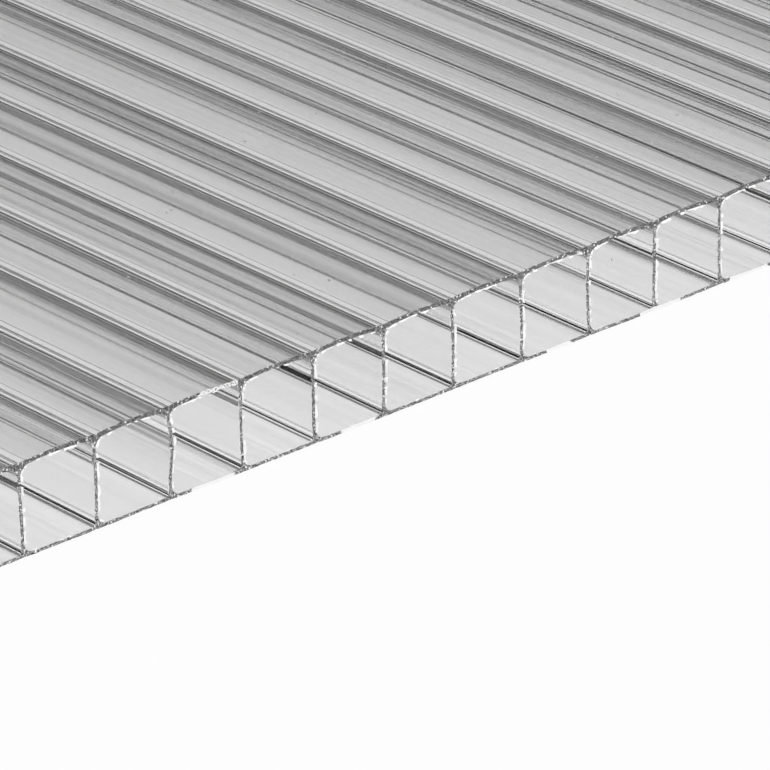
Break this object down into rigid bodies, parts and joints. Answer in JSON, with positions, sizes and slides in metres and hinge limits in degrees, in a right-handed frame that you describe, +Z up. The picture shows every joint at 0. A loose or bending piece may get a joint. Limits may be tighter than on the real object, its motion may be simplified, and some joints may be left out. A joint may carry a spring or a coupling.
{
  "type": "twin-wall polycarbonate sheet",
  "caption": "Clear fluted twin-wall polycarbonate glazing sheet, lying flat, with square-cut open ends and closed long edges.",
  "frame": {"origin": "middle of the sheet's length and width, on the plane of its underside", "axes": "+Y along the flutes, +X across them, +Z up out of the top skin"},
  "size_m": [0.61, 1.22, 0.01],
  "materials": {
    "clear_polycarbonate": "clear, glossy, with frosted saw-cut ends"
  },
  "bodies": {
    "root": {"twin_wall_sheet": "clear_polycarbonate"}
  },
  "joints": []
}
